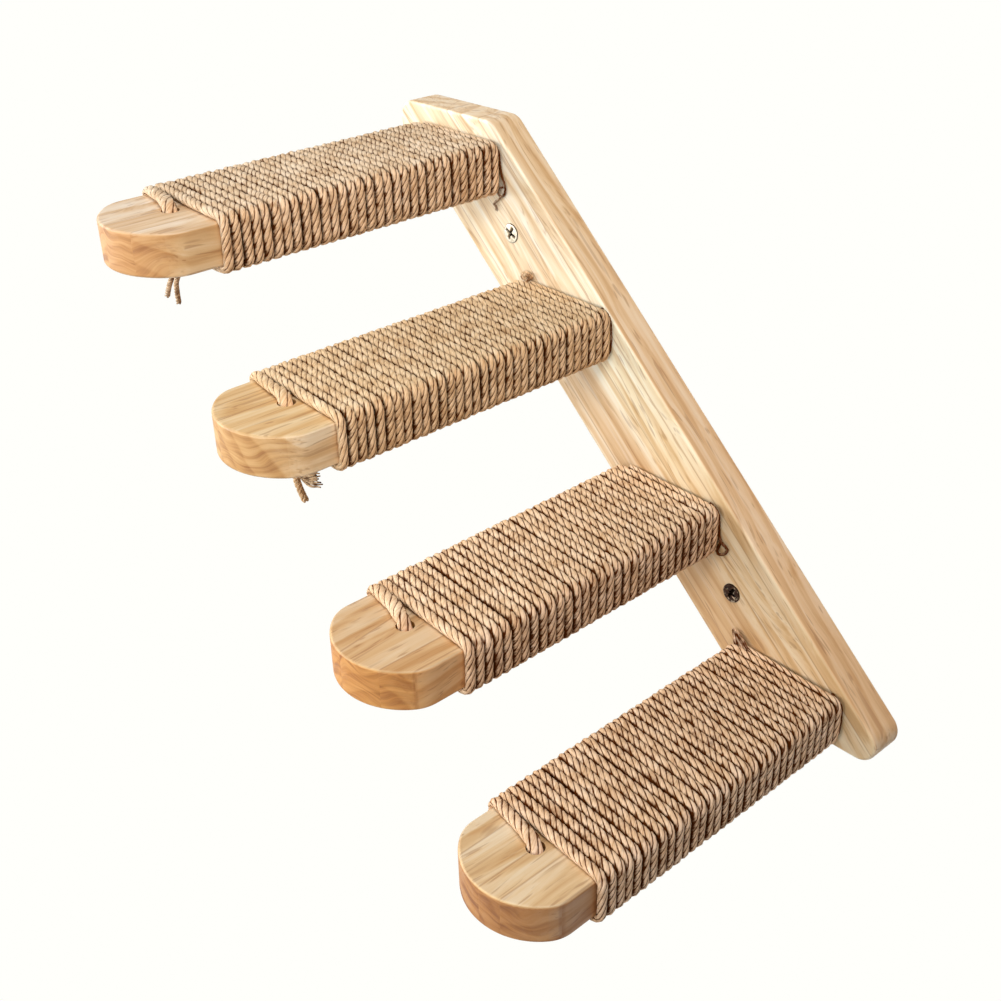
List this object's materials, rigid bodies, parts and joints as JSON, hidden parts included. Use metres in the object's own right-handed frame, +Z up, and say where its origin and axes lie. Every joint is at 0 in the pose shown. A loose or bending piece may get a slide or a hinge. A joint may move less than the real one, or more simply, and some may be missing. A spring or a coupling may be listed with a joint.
{
  "type": "cat wall stairs",
  "caption": "Slanted wooden wall plate that carries round-ended wooden planks wound with jute rope as climbing steps for a cat, held to the wall by screws.",
  "frame": {"origin": "on the back face of the wall plate, midway between the two wall screws", "axes": "+Y into the wall, so the steps reach out towards -Y; +X to the right along the wall, towards the lowest step; +Z up"},
  "size_m": [0.3989, 0.2906, 0.308],
  "materials": {
    "plate_wood": "clear satin",
    "plank_wood": "clear satin",
    "dowel_wood": "raw",
    "rope": "twisted jute",
    "screw_steel": "zinc plated"
  },
  "bodies": {
    "root": {"wall_plate": "plate_wood", "wall_screw_upper": "screw_steel", "wall_screw_lower": "screw_steel", "step_1_plank": "plank_wood", "step_1_rope": "rope", "step_1_front_knot": "rope", "step_1_rear_loop": "rope", "step_1_screws": "screw_steel", "step_1_dowel": "dowel_wood", "step_2_plank": "plank_wood", "step_2_rope": "rope", "step_2_front_knot": "rope", "step_2_rear_loop": "rope", "step_2_screws": "screw_steel", "step_2_dowel": "dowel_wood", "step_3_plank": "plank_wood", "step_3_rope": "rope", "step_3_front_knot": "rope", "step_3_rear_loop": "rope", "step_3_screws": "screw_steel", "step_3_dowel": "dowel_wood", "step_4_plank": "plank_wood", "step_4_rope": "rope", "step_4_front_knot": "rope", "step_4_rear_loop": "rope", "step_4_screws": "screw_steel", "step_4_dowel": "dowel_wood", "step_1_left_strand": "rope", "step_1_right_strand": "rope", "step_2_tail": "rope"}
  },
  "joints": []
}
